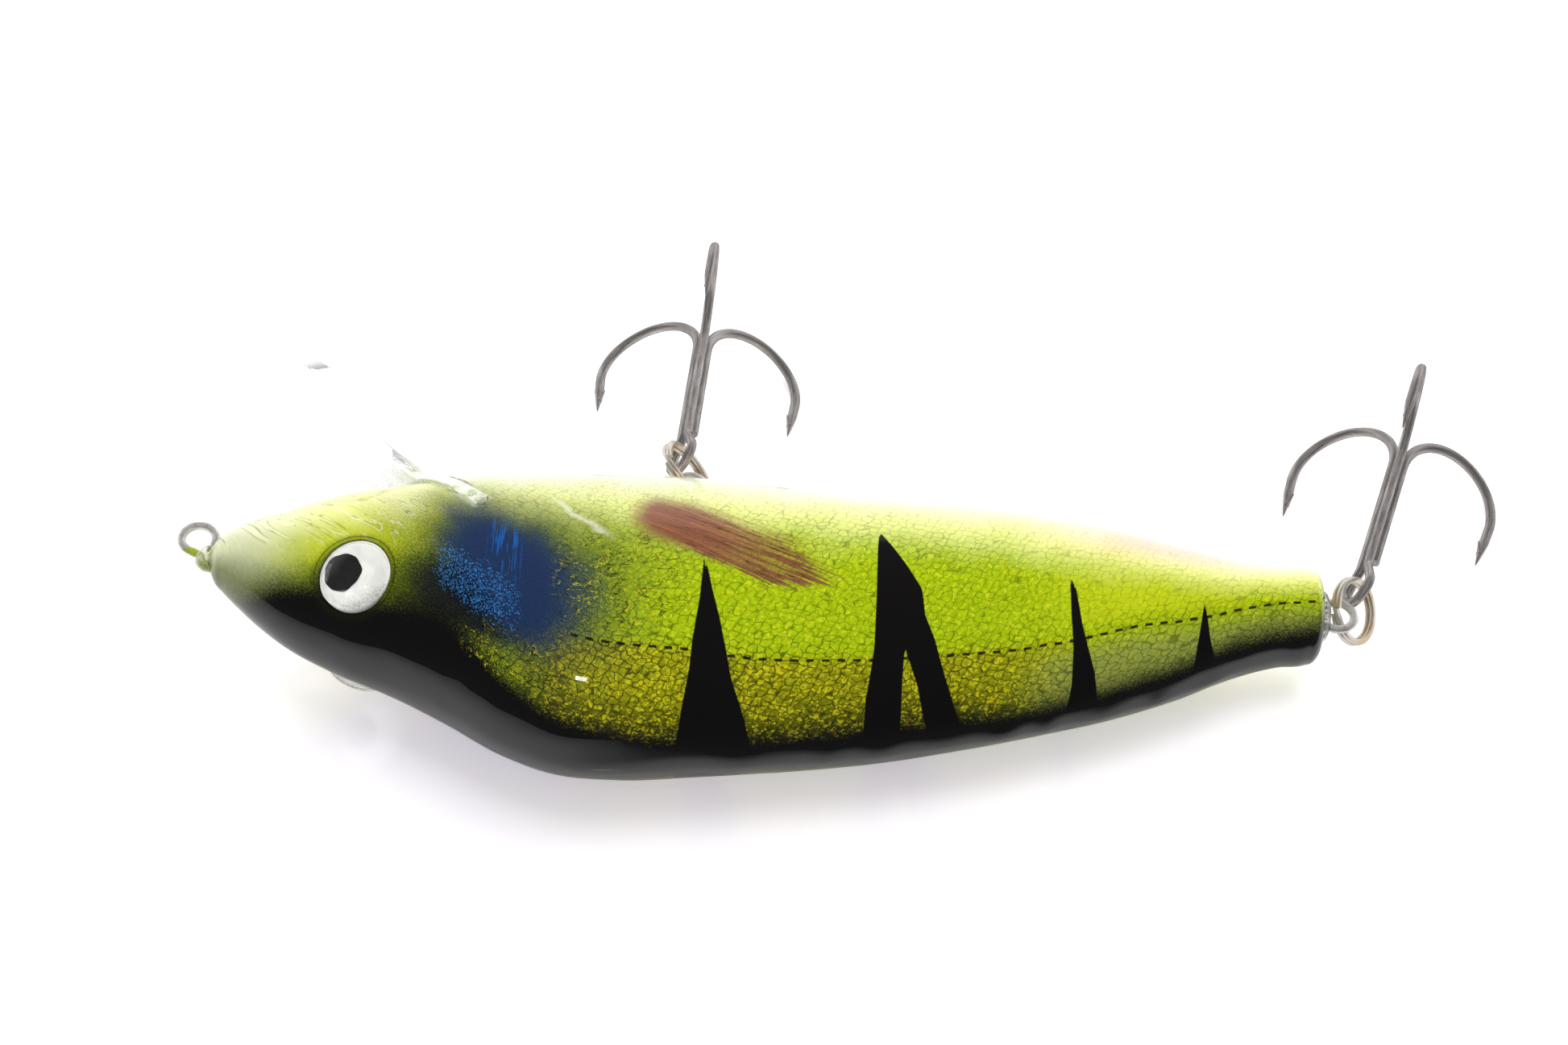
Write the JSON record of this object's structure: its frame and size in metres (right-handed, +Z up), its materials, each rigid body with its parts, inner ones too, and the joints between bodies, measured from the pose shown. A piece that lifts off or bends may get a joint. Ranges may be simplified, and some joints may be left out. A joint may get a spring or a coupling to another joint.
{
  "type": "crankbait lure",
  "caption": "Fish-shaped wooden diving lure with a clear lip, domed eyes, and treble hooks swinging on split rings from a through-wire.",
  "frame": {"origin": "centre of the line tie loop at the nose", "axes": "+X from nose to tail, +Y towards the belly, +Z up out of the right flank, with the lure lying on its left flank as it rests on a table"},
  "size_m": [0.175, 0.0846, 0.0292],
  "materials": {
    "painted_wood": "clear gloss epoxy over painted wood",
    "clear_lip": "clear polycarbonate",
    "stainless_wire": "bright drawn wire",
    "clear_epoxy": "clear glossy epoxy",
    "lead": "dull cast metal",
    "beech": "plain sanded wood",
    "silver_foil": "satin silver",
    "black_gloss": "gloss black",
    "clear_dome": "clear gloss",
    "nickel": "bright nickel plate",
    "black_nickel": "dark smoky nickel plate"
  },
  "bodies": {
    "lure": {"body_right_half": "painted_wood", "body_left_half": "painted_wood", "diving_lip": "clear_lip", "through_wire": "stainless_wire", "belly_hanger": "stainless_wire", "nose_bead": "clear_epoxy", "tail_collar": "clear_epoxy", "ballast_front": "lead", "ballast_middle": "lead", "ballast_rear": "lead", "front_dowel": "beech", "rear_dowel": "beech", "right_eye_disc": "silver_foil", "right_eye_pupil": "black_gloss", "right_eye_dome": "clear_dome", "left_eye_disc": "silver_foil", "left_eye_pupil": "black_gloss", "left_eye_dome": "clear_dome"},
    "belly_ring": {"belly_split_ring": "nickel"},
    "belly_treble": {"belly_double_hook": "black_nickel", "belly_single_hook": "black_nickel"},
    "tail_ring": {"tail_split_ring": "nickel"},
    "tail_treble": {"tail_double_hook": "black_nickel", "tail_single_hook": "black_nickel"}
  },
  "joints": [
    {"name": "belly_ring_swing", "type": "hinge", "parent": "lure", "child": "belly_ring", "pos_m": [0.06101, 0.014, -0.0032], "axis": [0.4993, 0.866, -0.0262], "range_deg": [-4, 80]},
    {"name": "belly_treble_swing", "type": "hinge", "parent": "belly_ring", "child": "belly_treble", "pos_m": [0.06144, 0.02074, -0.0044], "axis": [-0.5952, -0.108, 0.7963], "range_deg": [-70, 45]},
    {"name": "tail_ring_swing", "type": "hinge", "parent": "lure", "child": "tail_ring", "pos_m": [0.1491, -0.00486, -0.00781], "axis": [0.7061, 0.7071, -0.037], "range_deg": [0, 55]},
    {"name": "tail_treble_swing", "type": "hinge", "parent": "tail_ring", "child": "tail_treble", "pos_m": [0.15146, 0.00273, -0.00894], "axis": [-0.565, 0.101, 0.8189], "range_deg": [-35, 56]}
  ]
}
